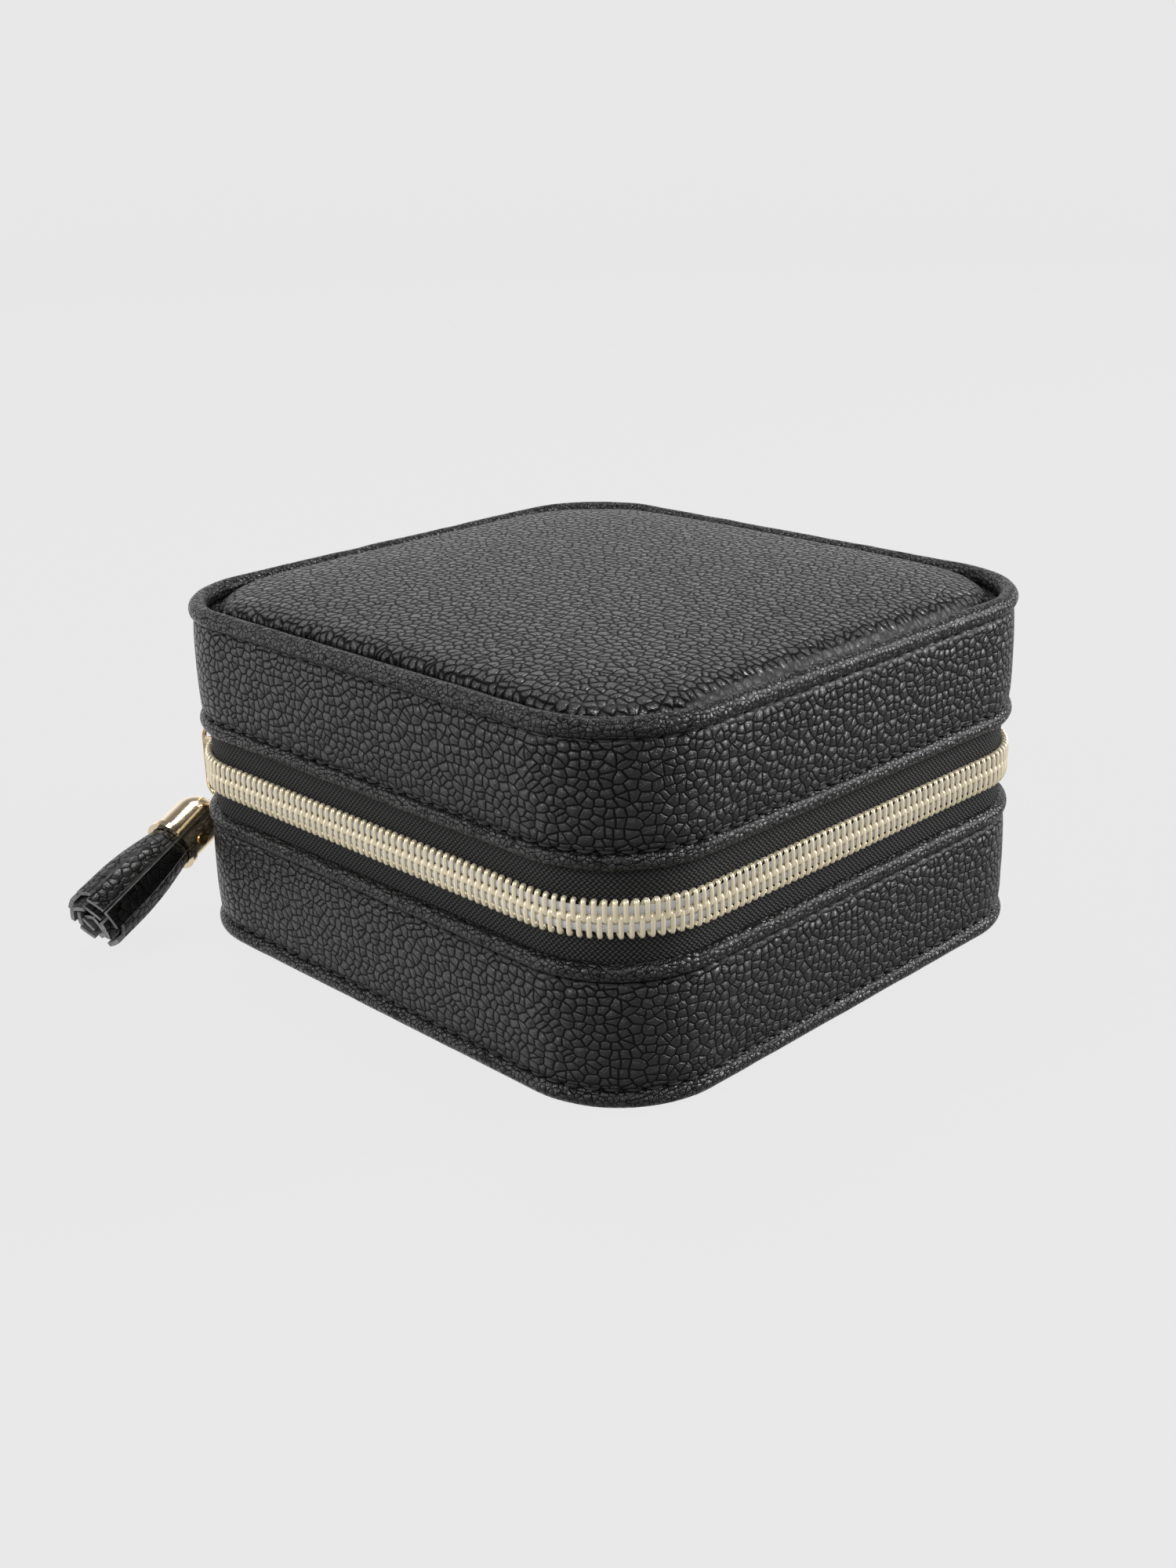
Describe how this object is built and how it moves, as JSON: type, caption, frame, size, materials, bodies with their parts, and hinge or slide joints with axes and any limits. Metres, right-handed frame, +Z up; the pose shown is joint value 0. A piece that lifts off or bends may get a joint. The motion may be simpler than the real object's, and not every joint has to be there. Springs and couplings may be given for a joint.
{
  "type": "leather jewellery case",
  "caption": "Square zipped travel jewellery case in pebbled leather with a padded hinged lid, lined trays, a mirror and a tassel on the zip slider.",
  "frame": {"origin": "centre of the face that the case rests on", "axes": "+Z up, +Y towards the hinge, -X towards the side the slider and tassel are on"},
  "size_m": [0.1218, 0.1127, 0.058],
  "materials": {
    "leather": "pebbled, semi-matt, black",
    "fringe_leather": "pebbled face, grey suede back, black",
    "board": "grey board",
    "foam": "soft foam sheet",
    "velvet": "short-pile velvet, charcoal",
    "zip_tape": "ribbed woven tape, black",
    "zip_coil": "metallised pale gold coil",
    "pale_gold": "polished pale gold plating",
    "screw_brass": "yellow brass",
    "mirror": "silvered"
  },
  "bodies": {
    "base": {"base_bottom_cover": "leather", "base_bottom_board": "board", "base_wall_board": "board", "base_leather_band": "leather", "base_bottom_piping": "leather", "base_top_piping": "leather", "hinge_strip_lower": "leather", "zip_tape_lower": "zip_tape", "zip_coil_lower": "zip_coil", "base_wall_lining": "velvet", "base_floor_lining": "velvet", "ring_pad_base": "velvet", "ring_roll_1": "velvet", "ring_roll_2": "velvet", "ring_roll_3": "velvet", "ring_roll_4": "velvet", "ring_roll_5": "velvet", "divider_long": "velvet", "divider_left": "velvet", "divider_right": "velvet"},
    "lid": {"lid_wall_board": "board", "lid_top_board": "board", "lid_leather_band": "leather", "lid_top_piping": "leather", "lid_bottom_piping": "leather", "lid_foam_pad": "foam", "lid_top_cover": "leather", "hinge_strip_upper": "leather", "zip_tape_upper": "zip_tape", "zip_coil_upper": "zip_coil", "zip_tape_end": "zip_tape", "zip_coil_end": "zip_coil", "lid_wall_lining": "velvet", "lid_panel_lining": "velvet", "mirror": "mirror", "mirror_frame": "leather"},
    "slider": {"slider_body": "pale_gold", "slider_bail": "pale_gold"},
    "pull_ring": {"pull_ring": "pale_gold"},
    "tassel": {"tassel_cap": "pale_gold", "tassel_cap_screw": "screw_brass", "tassel_core": "fringe_leather", "tassel_fringe": "fringe_leather"}
  },
  "joints": [
    {"name": "lid_hinge", "type": "hinge", "parent": "base", "child": "lid", "pos_m": [0, 0.0537, 0.0286], "axis": [-1, 0, 0], "range_deg": [0, 95], "deforming": ["zip_tape_end", "zip_coil_end"]},
    {"name": "slider_travel", "type": "hinge", "parent": "base", "child": "slider", "pos_m": [-0.0325, 0.035, 0.0286], "axis": [0, 0, 1], "range_deg": [0, 60]},
    {"name": "ring_swing", "type": "hinge", "parent": "slider", "child": "pull_ring", "pos_m": [-0.03726, 0.05561, 0.0286], "axis": [0.9744, 0.225, 0], "range_deg": [0, 30]},
    {"name": "tassel_sway", "type": "hinge", "parent": "pull_ring", "child": "tassel", "pos_m": [-0.03753, 0.05678, 0.0169], "axis": [-0.225, 0.9744, 0], "range_deg": [0, 35]}
  ]
}
